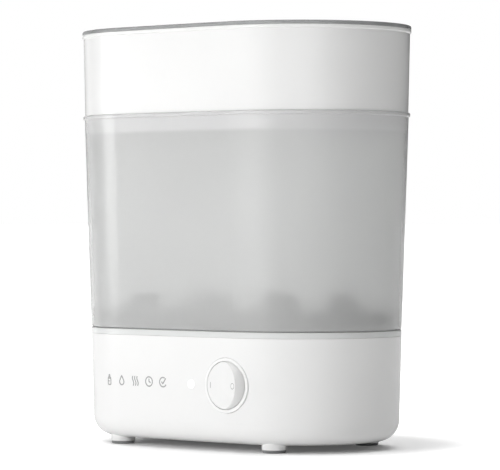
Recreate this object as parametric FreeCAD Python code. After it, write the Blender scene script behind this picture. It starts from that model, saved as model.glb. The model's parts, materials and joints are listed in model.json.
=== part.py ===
import FreeCAD, Part
import math
import os

from FreeCAD import Vector

# Steam sterilizer for baby bottles. Millimetres, +Z up, origin on the floor at the centre of the plan.
# The front, with the rocker switch, faces -Y. Every oval line of the body is one four-arc oval, moved in
# or out: a profile point (u, z) stands u outside the oval of the lid's rim, at height z.

# ---- driving dimensions -------------------------------------------------------------------------------
TOTAL_HEIGHT = 350.0
HALF_WIDTH = 154.3          # of the oval at the lid's rim, along X
HALF_DEPTH = 94.5           # the same along Y
FRONT_CROWN = 1.0           # how far the long sides bulge out of a plain stadium

FOOT_X, FOOT_Y = 85.2, 59.0
FOOT_RADIUS = 10.2
PAD_HEIGHT = 2.5

BASE_BOTTOM = 6.3           # underside of the base
BASE_EDGE_RADIUS = 17.0     # rounded bottom edge of the base
HOUSING_TOP = 93.4
RIM_TOP = 98.3
HOUSING_WALL = 2.5
RIM_U = -8.05               # the base's outer face where the rim band sits
HOUSING_FOOT_U = -10.55     # the same face carried down to the underside

BASKET_BOTTOM = 99.1
FLANGE_BOTTOM = 274.6
FLANGE_TOP = 277.9

LIP_BOTTOM = 343.8
LIP_TOP = 346.8
PANEL_GAP = 0.1             # between parts that rest on each other and lift apart

DISH_U = -49.0              # wall of the water dish
DISH_FLOOR = 78.2
DISH_SHEET = 1.2

SWITCH_X, SWITCH_Z = 55.6, 54.7
LIGHT_X = 17.4
ROCKER_TILT = 17.5          # degrees between the rocker's two faces, and its travel
ROCKER_RADIUS = 19.2        # where its flush face meets the bezel
PIVOT_DEPTH = 7.4           # from the flush face back to the pivot

PEG_PITCH_X, PEG_PITCH_Y = 78.0, 76.0
PEG_RADIUS = 14.0
PEG_HEIGHT = 21.5

GLAND_X, GLAND_Z = -40.0, 34.0

# ---- the oval -----------------------------------------------------------------------------------------
END_RADIUS = HALF_DEPTH - FRONT_CROWN
END_X = HALF_WIDTH - END_RADIUS
SIDE_Y = (END_X**2 - FRONT_CROWN**2) / (2 * FRONT_CROWN)     # centre of a long side's arc, past the middle
SIDE_RADIUS = HALF_DEPTH + SIDE_Y
JOINT_ANGLE = math.degrees(math.atan2(SIDE_Y, END_X))        # where an end arc hands over to a side arc

X_AXIS, Y_AXIS, Z_AXIS = Vector(1, 0, 0), Vector(0, 1, 0), Vector(0, 0, 1)
ORIGIN = Vector(0, 0, 0)


def on_circle(radius, degrees):
    """The point of a circle about the origin in the XY plane."""
    return Vector(radius * math.cos(math.radians(degrees)), radius * math.sin(math.radians(degrees)), 0)


def sectors(u):
    """Centre, radius, first angle and sweep of the oval's four arcs, moved out by u."""
    end_sweep, side_sweep = 2 * JOINT_ANGLE, 180 - 2 * JOINT_ANGLE
    return [
        (Vector(END_X, 0, 0), END_RADIUS + u, -JOINT_ANGLE, end_sweep),
        (Vector(0, -SIDE_Y, 0), SIDE_RADIUS + u, JOINT_ANGLE, side_sweep),
        (Vector(-END_X, 0, 0), END_RADIUS + u, 180 - JOINT_ANGLE, end_sweep),
        (Vector(0, SIDE_Y, 0), SIDE_RADIUS + u, 180 + JOINT_ANGLE, side_sweep),
    ]


def oval_wire(u, z):
    """The oval moved out by u, at height z."""
    arcs = []
    for centre, radius, first, sweep in sectors(u):
        points = [centre + on_circle(radius, first + share * sweep) + Z_AXIS * z for share in (0, 0.5, 1)]
        arcs.append(Part.Arc(*points).toShape())
    return Part.Wire(arcs)


def oval_plate(u, bottom, top):
    """A flat plate with the oval's outline."""
    return Part.Face(oval_wire(u, bottom)).extrude(Z_AXIS * (top - bottom))


def front_y(x, u):
    """How far forward the oval's front stands at x, as a negative y."""
    if abs(x) <= (SIDE_RADIUS + u) * math.cos(math.radians(JOINT_ANGLE)):
        return SIDE_Y - math.sqrt((SIDE_RADIUS + u) ** 2 - x * x)
    return -math.sqrt((END_RADIUS + u) ** 2 - (abs(x) - END_X) ** 2)


def end_point(u, degrees, sign_x=1):
    """A point over an end arc, at an angle from the X axis."""
    return Vector(sign_x * END_X, 0, 0) + Vector(sign_x, 0, 0) * on_circle(END_RADIUS + u, degrees).x + \
        Y_AXIS * on_circle(END_RADIUS + u, degrees).y


# ---- profiles -----------------------------------------------------------------------------------------
def rounded_edges(corners, place):
    """Edges of a closed polygon. A corner is (a, b) or (a, b, radius), and place makes (a, b) a point."""
    count = len(corners)
    flat = [Vector(c[0], c[1], 0) for c in corners]
    cuts = []
    for i, corner in enumerate(corners):
        radius = corner[2] if len(corner) > 2 else 0.0
        here, before, after = flat[i], flat[i - 1], flat[(i + 1) % count]
        to_before, to_after = (before - here).normalize(), (after - here).normalize()
        if radius <= 0:
            cuts.append((here, None, here))
            continue
        half = to_before.getAngle(to_after) / 2
        reach = radius / math.tan(half)
        centre = here + (to_before + to_after).normalize() * (radius / math.sin(half))
        middle = centre + (here - centre).normalize() * radius
        cuts.append((here + to_before * reach, middle, here + to_after * reach))
    edges = []
    for i, (start, middle, stop) in enumerate(cuts):
        if middle is not None:
            edges.append(Part.Arc(place(start), place(middle), place(stop)).toShape())
        following = cuts[(i + 1) % count][0]
        if stop.distanceToPoint(following) > 1e-6:
            edges.append(Part.makeLine(place(stop), place(following)))
    return edges


def profile_face(corners, place):
    return Part.Face(Part.Wire(Part.__sortEdges__(rounded_edges(corners, place))))


def oval_ring(corners):
    """A ring round the oval with the profile (u, z) given, made of one turned piece for each arc."""
    pieces = []
    for centre, radius, first, sweep in sectors(0):
        face = profile_face(corners, lambda p, r=radius: Vector(r + p.x, 0, p.y))
        face.rotate(ORIGIN, Z_AXIS, first)
        piece = face.revolve(ORIGIN, Z_AXIS, sweep)
        piece.translate(centre)
        pieces.append(piece)
    return fuse(pieces)


def turned(corners, at=ORIGIN, along=Z_AXIS):
    """A full turn of the profile (radius, height) about an axis through at."""
    face = profile_face(corners, lambda p: Vector(p.x, 0, p.y))
    solid = face.revolve(ORIGIN, Z_AXIS, 360)
    solid.Placement = FreeCAD.Placement(at, FreeCAD.Rotation(Z_AXIS, along))
    return solid


def prism(corners, low, high):
    """An upright prism over a polygon in plan."""
    face = profile_face(corners, lambda p: Vector(p.x, p.y, low))
    return face.extrude(Z_AXIS * (high - low))


# ---- small shapes -------------------------------------------------------------------------------------
def box(low, high):
    low, high = Vector(*low), Vector(*high)
    size = high - low
    return Part.makeBox(size.x, size.y, size.z, low)


def rod(radius, start, end):
    start, end = Vector(*start), Vector(*end)
    return Part.makeCylinder(radius, (end - start).Length, start, end - start)


def slot(centre, length, width, low, high, degrees=0.0):
    """A round-ended slot, length over its ends, turned by degrees in plan."""
    half = (length - width) / 2
    radius = width / 2
    bar = box((-half, -radius, low), (half, radius, high))
    ends = [rod(radius, (side * half, 0, low), (side * half, 0, high)) for side in (-1, 1)]
    shape = fuse([bar] + ends)
    shape.rotate(ORIGIN, Z_AXIS, degrees)
    shape.translate(Vector(*centre))
    return shape


def fuse(shapes):
    if len(shapes) == 1:
        return shapes[0]
    return shapes[0].multiFuse(shapes[1:]).removeSplitter()


def tube_path(points, radius, bend):
    """A round tube along straight runs joined by tangent arcs of the given bend radius."""
    points = [Vector(*p) for p in points]
    edges, last = [], points[0]
    for before, here, after in zip(points, points[1:], points[2:]):
        to_before, to_after = (before - here).normalize(), (after - here).normalize()
        half = to_before.getAngle(to_after) / 2
        reach = bend / math.tan(half)
        centre = here + (to_before + to_after).normalize() * (bend / math.sin(half))
        start, stop = here + to_before * reach, here + to_after * reach
        edges.append(Part.makeLine(last, start))
        edges.append(Part.Arc(start, centre + (here - centre).normalize() * bend, stop).toShape())
        last = stop
    edges.append(Part.makeLine(last, points[-1]))
    first = points[1] - points[0]
    section = Part.Wire([Part.makeCircle(radius, points[0], first)])
    return Part.Wire(edges).makePipeShell([section], True, False)


def mirrored_points(x, y):
    """The four points (+-x, +-y)."""
    return [(sx * x, sy * y) for sx in (-1, 1) for sy in (-1, 1)]


# ---- base casing --------------------------------------------------------------------------------------
FLANGE_U = -44.0            # inner edge of the housing's bottom flange
LEDGE_U = -50.0             # inner edge of the ledge that the bottom cover screws to
FLOOR_SHEET = 2.5
POST_U = -36.0              # ring on which the deck's screw posts stand
POST_RADIUS = 4.0
PILOT_RADIUS = 1.3
SCREW_RADIUS = 1.25
SCREW_HOLE = 1.9
HEAD_RADIUS = 3.2
HEAD_HEIGHT = 2.0
COVER_SCREW_U = -48.2
COVER_BOSS_TOP = 16.0


def deck_post_points():
    return [end_point(POST_U, a, s) for s in (-1, 1) for a in (-20, 20)] + \
        [Vector(0, s * (HALF_DEPTH + POST_U), 0) for s in (-1, 1)]


def cover_screw_points():
    return [end_point(COVER_SCREW_U, a, s) for s in (-1, 1) for a in (-38, 38)]


def base_housing():
    """White outer shell: side wall, rounded bottom edge, bottom flange with its ledge, and foot bosses."""
    inner_top = RIM_U - HOUSING_WALL
    inner_foot = HOUSING_FOOT_U - HOUSING_WALL
    flange_top = BASE_BOTTOM + FLOOR_SHEET
    shell = oval_ring([
        (RIM_U, HOUSING_TOP, 0.5),
        (HOUSING_FOOT_U, BASE_BOTTOM, BASE_EDGE_RADIUS),
        (FLANGE_U, BASE_BOTTOM),
        (FLANGE_U, flange_top),
        (LEDGE_U, flange_top),
        (LEDGE_U, flange_top + 2),
        (FLANGE_U + 4, flange_top + 2),
        (FLANGE_U + 4, flange_top),
        (inner_foot, flange_top, BASE_EDGE_RADIUS - HOUSING_WALL),
        (inner_top, HOUSING_TOP),
    ])
    added, removed = [], []
    for x, y in mirrored_points(FOOT_X, FOOT_Y):
        added.append(rod(FOOT_RADIUS, (x, y, PAD_HEIGHT), (x, y, flange_top)))
        removed.append(rod(4.1, (x, y, PAD_HEIGHT - 1), (x, y, PAD_HEIGHT + 4.2)))
    for p in cover_screw_points():
        added.append(rod(3.6, (p.x, p.y, flange_top + 1), (p.x, p.y, COVER_BOSS_TOP)))
        removed.append(rod(PILOT_RADIUS, (p.x, p.y, BASE_BOTTOM), (p.x, p.y, COVER_BOSS_TOP - 1)))
    for p in deck_post_points():
        removed.append(rod(SCREW_HOLE, (p.x, p.y, 0), (p.x, p.y, flange_top + 1)))
        removed.append(rod(HEAD_RADIUS + 0.3, (p.x, p.y, 0), (p.x, p.y, BASE_BOTTOM + 1.2)))
    wall = front_y(LIGHT_X, RIM_U - 1.1)
    for side in (-1, 1):
        x = LIGHT_X + side * LED_POST_OFFSET
        added.append(rod(2.6, (x, wall + 1.5, SWITCH_Z), (x, LED_BOARD_Y, SWITCH_Z)))
        removed.append(rod(0.9, (x, wall + 4, SWITCH_Z), (x, LED_BOARD_Y + 1, SWITCH_Z)))
    removed.append(rod(BEZEL_HOLE, (SWITCH_X, -100, SWITCH_Z), (SWITCH_X, -70, SWITCH_Z)))
    removed.append(rod(LENS_RADIUS + 0.1, (LIGHT_X, -100, SWITCH_Z), (LIGHT_X, -76, SWITCH_Z)))
    removed.append(rod(GLAND_RADIUS + 0.1, (GLAND_X, 70, GLAND_Z), (GLAND_X, 100, GLAND_Z)))
    return fuse([shell] + added).cut(Part.makeCompound(removed))


def base_rim():
    """Ring band on top of the housing, the groove that seats the basket, and the deck round the dish."""
    deck_top, deck_sheet = 91.0, 2.2
    ledge_top = 86.6
    ring = oval_ring([
        (RIM_U, RIM_TOP, 0.9),
        (RIM_U, HOUSING_TOP + 0.05),
        (-10.75, HOUSING_TOP + 0.05),
        (-11.0, 86.5),
        (-13.0, 86.5),
        (-13.0, deck_top - deck_sheet),
        (-39.0, ledge_top - deck_sheet),
        (-47.0, ledge_top - deck_sheet),
        (-47.0, ledge_top),
        (-39.0, ledge_top, 6),
        (-16.0, deck_top, 6),
        (-11.7, deck_top, 0.6),
        (-11.2, RIM_TOP, 0.6),
    ])
    posts, holes = [], []
    for p in deck_post_points():
        low = BASE_BOTTOM + FLOOR_SHEET
        posts.append(rod(POST_RADIUS, (p.x, p.y, low), (p.x, p.y, ledge_top - 0.6)))
        holes.append(rod(PILOT_RADIUS, (p.x, p.y, low - 1), (p.x, p.y, low + 14)))
    holes += [rod(1.4, (p.x, p.y, SHIELD_TOP), (p.x, p.y, ledge_top + 1)) for p in shield_points()]
    return fuse([ring] + posts).cut(Part.makeCompound(holes))


def bottom_cover():
    """Flat service plate in the housing's bottom opening, with vent slots and board standoffs."""
    top = BASE_BOTTOM + FLOOR_SHEET - 0.1
    plate = oval_plate(FLANGE_U - 0.3, BASE_BOTTOM, top)
    added, removed = [], []
    for x, y in board_points():
        added.append(rod(3.0, (x, y, top - 1), (x, y, BOARD_Z)))
        removed.append(rod(0.9, (x, y, top), (x, y, BOARD_Z + 1)))
    for p in cover_screw_points():
        removed.append(rod(SCREW_HOLE, (p.x, p.y, 0), (p.x, p.y, 20)))
        removed.append(rod(HEAD_RADIUS + 0.3, (p.x, p.y, 0), (p.x, p.y, BASE_BOTTOM + 1.2)))
    for side in (-1, 1):
        for i in range(5):
            removed.append(slot((side * (44 + 7 * i), 0, 0), 28, 3, 0, 20, 90))
    return fuse([plate] + added).cut(Part.makeCompound(removed))


def foot_pad(x, y):
    """Grey rubber pad with its plug pushed up into the foot boss."""
    return turned([
        (0, 0), (FOOT_RADIUS - 0.3, 0, 1.6), (FOOT_RADIUS - 0.3, PAD_HEIGHT, 0.2),
        (4.0, PAD_HEIGHT), (4.0, PAD_HEIGHT + 4.0, 0.5), (0, PAD_HEIGHT + 4.0),
    ], Vector(x, y, 0))


def screw(at, length, along=Z_AXIS, shank=SCREW_RADIUS, head=HEAD_RADIUS, height=HEAD_HEIGHT):
    """Pan-head screw. Its head stands on at and its shank points along the axis."""
    shape = turned([
        (0, -height), (head, -height, height * 0.45), (head, 0), (shank, 0), (shank, length), (0, length),
    ])
    cross = fuse([box((-head * 0.6, -0.35, -height), (head * 0.6, 0.35, -height * 0.5)),
                  box((-0.35, -head * 0.6, -height), (0.35, head * 0.6, -height * 0.5))])
    shape = shape.cut(cross)
    shape.Placement = FreeCAD.Placement(at, FreeCAD.Rotation(Z_AXIS, along))
    return shape


def deck_screws():
    seat = BASE_BOTTOM + 1.2
    return [screw(Vector(p.x, p.y, seat), 13) for p in deck_post_points()]


def cover_screws():
    seat = BASE_BOTTOM + 1.2
    return [screw(Vector(p.x, p.y, seat), 7.5) for p in cover_screw_points()]


# ---- heater -------------------------------------------------------------------------------------------
GASKET_TOP = 87.6
SPREADER_U = -58.0
SPREADER_SHEET = 3.0
ELEMENT_U = -68.0
ELEMENT_RADIUS = 3.6
ELEMENT_GAP = 24.0          # half the gap between the element's two ends
SHIELD_TOP = 84.35
SHIELD_FLOOR = 54.0
SHIELD_SHEET = 0.8
GROMMET_X = 27.0
FUSE_Y = -16.0
BRACKET_DROP = 4.0          # from the spreader down to the strap's underside
SPREADER_BOTTOM = DISH_FLOOR - DISH_SHEET - SPREADER_SHEET
ELEMENT_Z = SPREADER_BOTTOM - ELEMENT_RADIUS - 0.05


def heating_plate():
    """Pressed stainless dish that holds the water: flange, wall and flat floor with a raised fill mark."""
    flange_top = GASKET_TOP + DISH_SHEET
    low = DISH_FLOOR - DISH_SHEET
    rim = oval_ring([
        (-42.5, GASKET_TOP),
        (-42.5, flange_top, 0.5),
        (DISH_U - DISH_SHEET, flange_top, 1.5),
        (DISH_U - 3.0 - DISH_SHEET, DISH_FLOOR, 3.0),
        (DISH_U - 12.0, DISH_FLOOR),
        (DISH_U - 12.0, low),
        (DISH_U - 3.0, low, 4.2),
        (DISH_U, GASKET_TOP, 0.3),
    ])
    floor = oval_plate(DISH_U - 12.0, low, DISH_FLOOR)
    mark = turned([(11, DISH_FLOOR - 0.2), (11, DISH_FLOOR + 0.5, 0.3), (13, DISH_FLOOR + 0.5, 0.3),
                   (13, DISH_FLOOR - 0.2)])
    return fuse([rim, floor, mark])


def plate_gasket():
    return oval_ring([(-43.0, 86.6), (-43.0, GASKET_TOP), (-47.0, GASKET_TOP), (-47.0, 86.6)])


def heat_spreader():
    return oval_plate(SPREADER_U, SPREADER_BOTTOM, DISH_FLOOR - DISH_SHEET)


def element_tube(radius, u, z, half_gap):
    """The sheathed element: round bar along the oval, open at the back between the two ends."""
    pieces = []
    for i, (centre, length, first, sweep) in enumerate(sectors(u)):
        spans = [(first, sweep)]
        if i == 1:
            gap = math.degrees(math.asin(half_gap / length))
            spans = [(first, 90 - first - gap), (90 + gap, 90 - first - gap)]
        for start, turn in spans:
            circle = Part.Wire([Part.makeCircle(radius, Vector(length, 0, z), Y_AXIS)])
            face = Part.Face(circle)
            face.rotate(ORIGIN, Z_AXIS, start)
            piece = face.revolve(ORIGIN, Z_AXIS, turn)
            piece.translate(centre)
            pieces.append(piece)
    return fuse(pieces)


def element_end(side):
    """Where an end face of the element stands, at the back of its loop."""
    length = SIDE_RADIUS + ELEMENT_U
    return Vector(side * ELEMENT_GAP, -SIDE_Y + math.sqrt(length**2 - ELEMENT_GAP**2), ELEMENT_Z)


def heating_element():
    return element_tube(ELEMENT_RADIUS, ELEMENT_U, ELEMENT_Z, ELEMENT_GAP)


def element_insulators():
    """Ceramic collars that the element's terminal pins come out of."""
    collars = []
    for side in (-1, 1):
        end = element_end(side)
        inner = end - X_AXIS * side * 5
        start = end - X_AXIS * side * 0.2
        collar = rod(3.0, tuple(start), tuple(inner))
        collars.append(collar.cut(rod(1.2, tuple(end + X_AXIS * side), tuple(inner - X_AXIS * side))))
    return collars


def element_pins():
    pins = []
    for side in (-1, 1):
        end = element_end(side)
        pins.append(rod(1.15, tuple(end - X_AXIS * side * 0.25), tuple(end - X_AXIS * side * 12)))
    return pins


def thermostat():
    """Bimetal disc control pressed against the spreader, with its two blade terminals."""
    top = SPREADER_BOTTOM
    can = turned([(0, top), (8.5, top, 0.6), (8.5, top - 3, 0.2), (7.0, top - 3), (7.0, top - 9, 0.6),
                  (0, top - 9)])
    tabs = [box((side * 4 - 1.5, -0.4, top - 14), (side * 4 + 1.5, 0.4, top - 8.5)) for side in (-1, 1)]
    return fuse([can] + tabs)


def thermostat_bracket():
    """Sprung strap over the thermostat's body, held by two screws into the spreader."""
    top = SPREADER_BOTTOM
    strap = box((-16, -9.5, top - BRACKET_DROP), (16, 9.5, top - 3.05))
    legs = [box((side * 16 - 3, -5, top - BRACKET_DROP), (side * 16 + 3, 5, top - 0.05)) for side in (-1, 1)]
    holes = [rod(1.6, (side * 16, 0, top - 6), (side * 16, 0, top + 1)) for side in (-1, 1)]
    holes.append(rod(7.2, (0, 0, top - 6), (0, 0, top)))
    return fuse([strap] + legs).cut(Part.makeCompound(holes))


def bracket_screws():
    seat = SPREADER_BOTTOM - BRACKET_DROP
    return [screw(Vector(side * 16, 0, seat), BRACKET_DROP - 0.1, shank=1.4, head=2.6, height=1.6)
            for side in (-1, 1)]


def thermal_fuse():
    """Axial cut-out under its clip on the spreader."""
    z = SPREADER_BOTTOM - 2.4
    body = rod(2.0, (-6, FUSE_Y, z), (6, FUSE_Y, z))
    tails = [rod(0.5, (side * 5.5, FUSE_Y, z), (side * 14, FUSE_Y, z)) for side in (-1, 1)]
    return fuse([body] + tails)


def fuse_clip():
    top = SPREADER_BOTTOM
    clip = box((-3, FUSE_Y - 4.5, top - 5.6), (3, FUSE_Y + 4.5, top - 0.05))
    bore = rod(2.1, (-4, FUSE_Y, top - 2.4), (4, FUSE_Y, top - 2.4))
    mouth = box((-4, FUSE_Y - 2.1, top - 2.4), (4, FUSE_Y + 2.1, top))
    return clip.cut(Part.makeCompound([bore, mouth]))


def heat_shield():
    """Aluminium pan under the heater, hung from the deck, that keeps heat and drips off the boards."""
    top = SHIELD_TOP
    pan = oval_ring([
        (-40.8, top),
        (-49.0, top, 0.5),
        (-51.0, SHIELD_FLOOR + SHIELD_SHEET, 2.0),
        (-60.0, SHIELD_FLOOR + SHIELD_SHEET),
        (-60.0, SHIELD_FLOOR),
        (-51.0 + SHIELD_SHEET, SHIELD_FLOOR, 2.8),
        (-49.0 + SHIELD_SHEET, top - SHIELD_SHEET, 0.5),
        (-40.8, top - SHIELD_SHEET),
    ])
    floor = oval_plate(-60.0, SHIELD_FLOOR, SHIELD_FLOOR + SHIELD_SHEET)
    holes = [rod(5.0, (side * GROMMET_X, 0, 50), (side * GROMMET_X, 0, 70)) for side in (-1, 1)]
    holes += [rod(1.6, (p.x, p.y, 80), (p.x, p.y, 90)) for p in shield_points()]
    return fuse([pan, floor]).cut(Part.makeCompound(holes))


def shield_points():
    return [end_point(-43.6, a, s) for s in (-1, 1) for a in (-45, 45)]


def shield_screws():
    seat = SHIELD_TOP - SHIELD_SHEET
    return [screw(Vector(p.x, p.y, seat), 2.9, shank=1.35, head=2.6, height=1.6) for p in shield_points()]


def shield_grommets():
    """Silicone bushes where the leads go through the shield's floor."""
    profile = [(2.2, -2.5), (6.5, -2.5, 0.5), (6.5, -0.05), (4.9, -0.05), (4.9, 0.85), (6.5, 0.85),
               (6.5, 3.0, 0.5), (2.2, 3.0)]
    return [turned(profile, Vector(side * GROMMET_X, 0, SHIELD_FLOOR)) for side in (-1, 1)]


# ---- switch, light and boards -------------------------------------------------------------------------
BEZEL_RADIUS = 22.6
BEZEL_HOLE = 22.75
BEZEL_LIP = 19.7
BEZEL_BORE = 20.9
BEZEL_RISE = 1.2
BEZEL_ROUNDING = 0.8
BEZEL_FRONT = front_y(SWITCH_X - BEZEL_RADIUS, RIM_U - 1.1) - BEZEL_RISE
FLANGE_RADIUS = 24.5
PIVOT_Y = BEZEL_FRONT + PIVOT_DEPTH
SPHERE_RADIUS = math.hypot(ROCKER_RADIUS, PIVOT_DEPTH)
PIN_RADIUS = 1.5
ROCKER_SKIRT = 3.0          # how far the rocker's edge reaches behind its pivot
SWITCH_PLATE = 4.0
SWITCH_SCREW_X = 22.5
LENS_RADIUS = 3.75
LED_POST_OFFSET = 10.0
LED_BOARD_Y = -72.0
BOARD_Z = 16.4
BOARD_CENTRE = (-14.0, 0.0)
BOARD_SIZE = (92.0, 48.0)
BOARD_SHEET = 1.6
GLAND_RADIUS = 7.0


def follow_wall(ring):
    """Trims a ring so that it stands BEZEL_RISE proud of the curved wall all round, and rounds its outer edge."""
    reach = BEZEL_RADIUS + 10
    trimmed = ring.common(oval_plate(RIM_U - 1.1 + BEZEL_RISE, SWITCH_Z - reach, SWITCH_Z + reach))
    rim = [edge for edge in trimmed.Edges
           if all(abs(math.hypot(v.X - SWITCH_X, v.Z - SWITCH_Z) - BEZEL_RADIUS) < 0.01 for v in edge.Vertexes)
           and edge.CenterOfMass.y < PIVOT_Y - 2 and edge.BoundBox.ZLength > 1]
    return trimmed.makeFillet(BEZEL_ROUNDING, rim)


def switch_bezel():
    """White ring that follows the front wall, with the round well and the pivot ears of the rocker behind it."""
    ring = turned([
        (BEZEL_LIP, -1), (BEZEL_RADIUS, -1), (BEZEL_RADIUS, 7.4), (FLANGE_RADIUS, 7.4),
        (FLANGE_RADIUS, 15.0), (BEZEL_LIP, 15.0),
    ], Vector(SWITCH_X, BEZEL_FRONT, SWITCH_Z), Y_AXIS)
    ears = []
    holes = [Part.makeSphere(SPHERE_RADIUS + 0.45, Vector(SWITCH_X, PIVOT_Y, SWITCH_Z)),
             rod(BEZEL_BORE, (SWITCH_X, PIVOT_Y, SWITCH_Z), (SWITCH_X, BEZEL_FRONT + 20, SWITCH_Z))]
    for side in (-1, 1):
        low, high = sorted((SWITCH_Z + side * BEZEL_BORE, SWITCH_Z + side * (FLANGE_RADIUS - 0.5)))
        ears.append(box((SWITCH_X - 5, BEZEL_FRONT + 5.4, low), (SWITCH_X + 5, BEZEL_FRONT + 15, high)))
        holes.append(rod(PIN_RADIUS + 0.05, (SWITCH_X, PIVOT_Y, SWITCH_Z + side * 10),
                         (SWITCH_X, PIVOT_Y, SWITCH_Z + side * (FLANGE_RADIUS - 1.2))))
        x = SWITCH_X + side * SWITCH_SCREW_X
        holes.append(rod(0.85, (x, BEZEL_FRONT + 9, SWITCH_Z), (x, BEZEL_FRONT + 16, SWITCH_Z)))
    return fuse([follow_wall(ring)] + ears).cut(Part.makeCompound(holes))


def rocker_outline(inset, back):
    """Plan of the rocker's two faces and its open back. The two faces meet in a soft valley."""
    tilt = math.radians(ROCKER_TILT)
    face = -PIVOT_DEPTH + inset
    valley = -PIVOT_DEPTH * math.tan(tilt / 2)
    reach = 30.0
    rise = (reach - valley) * math.tan(tilt)
    corners = [(-reach, back), (-reach, face), (valley, face, 22.0), (reach, face - rise), (reach, back)]
    return [(SWITCH_X + c[0], PIVOT_Y + c[1], *c[2:]) for c in corners]


def rocker():
    """Round rocker: a ball-edged cap with two faces, hollow behind, on two pivot pins."""
    centre = Vector(SWITCH_X, PIVOT_Y, SWITCH_Z)
    low, high = SWITCH_Z - 30, SWITCH_Z + 30
    cap = Part.makeSphere(SPHERE_RADIUS, centre).common(prism(rocker_outline(0, ROCKER_SKIRT), low, high))
    hollow = Part.makeSphere(SPHERE_RADIUS - 2.0, centre).common(prism(rocker_outline(2.0, 12.0), low, high))
    stem = box((SWITCH_X - 1.5, PIVOT_Y - 6.4, SWITCH_Z - 5), (SWITCH_X + 1.5, PIVOT_Y + 13, SWITCH_Z + 5))
    pins = [rod(PIN_RADIUS, (SWITCH_X, PIVOT_Y, SWITCH_Z + side * 18),
                (SWITCH_X, PIVOT_Y, SWITCH_Z + side * (FLANGE_RADIUS - 1.5))) for side in (-1, 1)]
    return fuse([cap.cut(hollow), stem] + pins)


def switch_body():
    """Moulded contact block on the back of the bezel, dished for the rocker's edge and slotted for its stem."""
    front = BEZEL_FRONT + 15.05
    back = front + SWITCH_PLATE
    block = box((SWITCH_X - 17, front, SWITCH_Z - 14), (SWITCH_X + 17, front + 16, SWITCH_Z + 14))
    plate = rod(FLANGE_RADIUS - 0.5, (SWITCH_X, front, SWITCH_Z), (SWITCH_X, back, SWITCH_Z))
    cuts = [box((SWITCH_X - 9, front - 1, SWITCH_Z - 7), (SWITCH_X + 9, front + 8, SWITCH_Z + 7)),
            rod(BEZEL_BORE, (SWITCH_X, front - 1, SWITCH_Z), (SWITCH_X, front + 2.2, SWITCH_Z))]
    for side in (-1, 1):
        x = SWITCH_X + side * SWITCH_SCREW_X
        cuts.append(rod(0.9, (x, front - 1, SWITCH_Z), (x, back + 1, SWITCH_Z)))
    return fuse([block, plate]).cut(Part.makeCompound(cuts))


def switch_screws():
    seat = BEZEL_FRONT + 15.05 + SWITCH_PLATE
    return [screw(Vector(SWITCH_X + side * SWITCH_SCREW_X, seat, SWITCH_Z), 9, Y_AXIS * -1,
                  shank=0.8, head=1.45, height=1.2) for side in (-1, 1)]


def switch_terminals():
    back = BEZEL_FRONT + 31.05
    tabs = []
    for x in (-10, 10):
        for z in (-8, 8):
            tabs.append(box((SWITCH_X + x - 0.4, back, SWITCH_Z + z - 3.1),
                            (SWITCH_X + x + 0.4, back + 8, SWITCH_Z + z + 3.1)))
    return tabs


def indicator_lens():
    """Milky window of the power light, flanged behind the wall."""
    face = front_y(LIGHT_X, RIM_U - 1.1) - 0.25
    return turned([
        (0, 0), (LENS_RADIUS, 0, 0.5), (LENS_RADIUS, 3.1), (5.5, 3.1), (5.5, 4.6), (0, 4.6),
    ], Vector(LIGHT_X, face, SWITCH_Z), Y_AXIS)


def status_led():
    return turned([(0, -6.2), (2.5, -6.2, 2.4), (2.5, -1.0), (3.0, -1.0), (3.0, 0), (0, 0)],
                  Vector(LIGHT_X, LED_BOARD_Y, SWITCH_Z), Y_AXIS)


def led_board():
    board = box((LIGHT_X - 13, LED_BOARD_Y, SWITCH_Z - 9),
                (LIGHT_X + 13, LED_BOARD_Y + BOARD_SHEET, SWITCH_Z + 9))
    holes = [rod(1.2, (LIGHT_X + side * LED_POST_OFFSET, LED_BOARD_Y - 1, SWITCH_Z),
                 (LIGHT_X + side * LED_POST_OFFSET, LED_BOARD_Y + 3, SWITCH_Z)) for side in (-1, 1)]
    return board.cut(Part.makeCompound(holes))


def led_board_screws():
    seat = LED_BOARD_Y + BOARD_SHEET
    return [screw(Vector(LIGHT_X + side * LED_POST_OFFSET, seat, SWITCH_Z), 7, Y_AXIS * -1,
                  shank=0.85, head=2.0, height=1.2) for side in (-1, 1)]


def board_points():
    return [(BOARD_CENTRE[0] + x, BOARD_CENTRE[1] + y)
            for x, y in mirrored_points(BOARD_SIZE[0] / 2 - 5, BOARD_SIZE[1] / 2 - 5)]


def on_board(x, y):
    return BOARD_CENTRE[0] + x, BOARD_CENTRE[1] + y


BOARD_TOP = BOARD_Z + BOARD_SHEET


def control_board():
    (cx, cy), (length, width) = BOARD_CENTRE, BOARD_SIZE
    board = box((cx - length / 2, cy - width / 2, BOARD_Z), (cx + length / 2, cy + width / 2, BOARD_TOP))
    return board.cut(Part.makeCompound([rod(1.2, (x, y, BOARD_Z - 1), (x, y, BOARD_TOP + 1))
                                        for x, y in board_points()]))


def board_screws():
    return [screw(Vector(x, y, BOARD_TOP), 6, Z_AXIS * -1, shank=0.85, head=2.0, height=1.2)
            for x, y in board_points()]


def block_on_board(x, y, length, width, height, edge=0.6):
    """A moulded component on the control board."""
    x, y = on_board(x, y)
    shape = box((x - length / 2, y - width / 2, BOARD_TOP), (x + length / 2, y + width / 2, BOARD_TOP + height))
    return shape.makeFillet(edge, [e for e in shape.Edges if e.BoundBox.ZMin > BOARD_TOP + 0.1])


def supply_transformer():
    core = block_on_board(-22, 6, 24, 20, 7)
    x, y = on_board(-22, 6)
    winding = rod(8.0, (x, y, BOARD_TOP + 6.9), (x, y, BOARD_TOP + 15))
    cap = box((x - 11, y - 5, BOARD_TOP + 14.9), (x + 11, y + 5, BOARD_TOP + 18))
    return fuse([core, winding, cap])


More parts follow.
